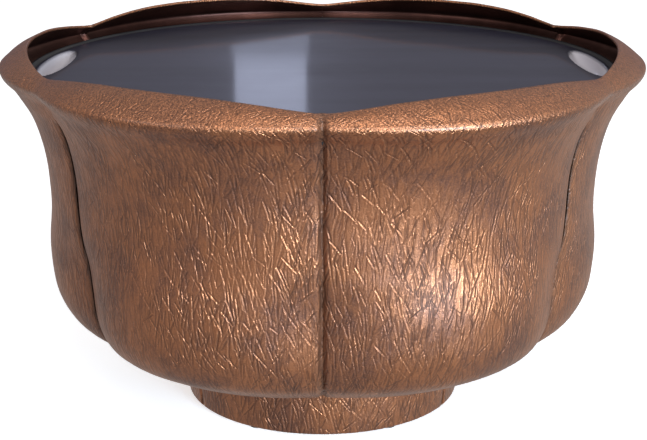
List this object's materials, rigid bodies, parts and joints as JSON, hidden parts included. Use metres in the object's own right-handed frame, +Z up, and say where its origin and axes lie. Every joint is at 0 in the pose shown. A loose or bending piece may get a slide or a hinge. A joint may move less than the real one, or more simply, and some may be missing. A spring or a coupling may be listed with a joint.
{
  "type": "tabletop water fountain",
  "caption": "Flower-shaped copper vessel on a ring foot, with a dark plate over a hidden liner and pump; water wells up at two scoops and drips off the plate's edge.",
  "frame": {"origin": "on the table, at the middle of the foot", "axes": "+Z up, -Y is the front, where two petals meet; +X to the right, through the middle of a petal"},
  "size_m": [0.352, 0.3364, 0.2028],
  "materials": {
    "copper_skin": "antique copper with short pressed-in strokes",
    "copper_foot": "the same sheet, a little darker",
    "dark_plate": "dark brushed finish",
    "liner_plastic": "black moulded sheet",
    "base_steel": "black powder coat",
    "screw_steel": "plain steel",
    "pad_rubber": "matt",
    "stand_steel": "stainless",
    "pump_plastic": "black moulding",
    "strainer_plastic": "textured black moulding",
    "dial_plastic": "grey moulding",
    "impeller_plastic": "white moulding",
    "magnet": "sintered ferrite",
    "shaft_ceramic": "polished ceramic",
    "core_steel": "stacked laminations",
    "coil_copper": "enamelled wire",
    "cup_rubber": "soft",
    "seal_rubber": "soft",
    "pipe_plastic": "milky tube",
    "fitting_plastic": "black moulding",
    "gland_plastic": "black moulding"
  },
  "bodies": {
    "vessel": {"panel_front": "copper_skin", "panel_right_rear": "copper_skin", "panel_left_rear": "copper_skin", "foot_front": "copper_foot", "foot_right_rear": "copper_foot", "foot_left_rear": "copper_foot", "liner": "liner_plastic", "base_plate": "base_steel", "base_screws": "screw_steel", "stand_screws": "screw_steel", "foot_pads": "pad_rubber", "stand_pads": "pad_rubber", "leg_caps": "pad_rubber", "stand_ring": "stand_steel", "stand_leg_front": "stand_steel", "stand_leg_right": "stand_steel", "stand_leg_left": "stand_steel", "pump_volute": "pump_plastic", "motor_housing": "pump_plastic", "motor_back_cover": "pump_plastic", "rotor_shaft": "shaft_ceramic", "front_bush": "shaft_ceramic", "rear_bush": "shaft_ceramic", "motor_core": "core_steel", "motor_coil": "coil_copper", "suction_cups": "cup_rubber", "volute_seal": "seal_rubber", "gland_seal": "seal_rubber", "riser_sleeve": "seal_rubber", "riser_pipe": "pipe_plastic", "branch_pipe_right": "pipe_plastic", "branch_pipe_left": "pipe_plastic", "tee": "fitting_plastic", "elbow_right": "fitting_plastic", "elbow_left": "fitting_plastic", "gland_body": "gland_plastic", "gland_nut": "gland_plastic"},
    "plate": {"plate": "dark_plate", "plate_pegs": "screw_steel", "feed_duct_right": "fitting_plastic", "feed_duct_left": "fitting_plastic"},
    "strainer": {"strainer": "strainer_plastic"},
    "flow_dial": {"flow_dial": "dial_plastic"},
    "impeller": {"impeller": "impeller_plastic", "rotor_magnet": "magnet"}
  },
  "joints": [
    {"name": "plate_lift", "type": "slide", "parent": "vessel", "child": "plate", "axis": [0, 0, 1], "range_m": [0, 0.08]},
    {"name": "strainer_pull", "type": "slide", "parent": "vessel", "child": "strainer", "axis": [-1, 0, 0], "range_m": [0, 0.022]},
    {"name": "dial_turn", "type": "hinge", "parent": "strainer", "child": "flow_dial", "pos_m": [-0.0185, 0.00915, 0.0567], "axis": [-1, 0, 0], "range_deg": [0, 90]},
    {"name": "impeller_spin", "type": "hinge", "parent": "vessel", "child": "impeller", "pos_m": [0, 0.00915, 0.0567], "axis": [1, 0, 0], "continuous": true}
  ]
}
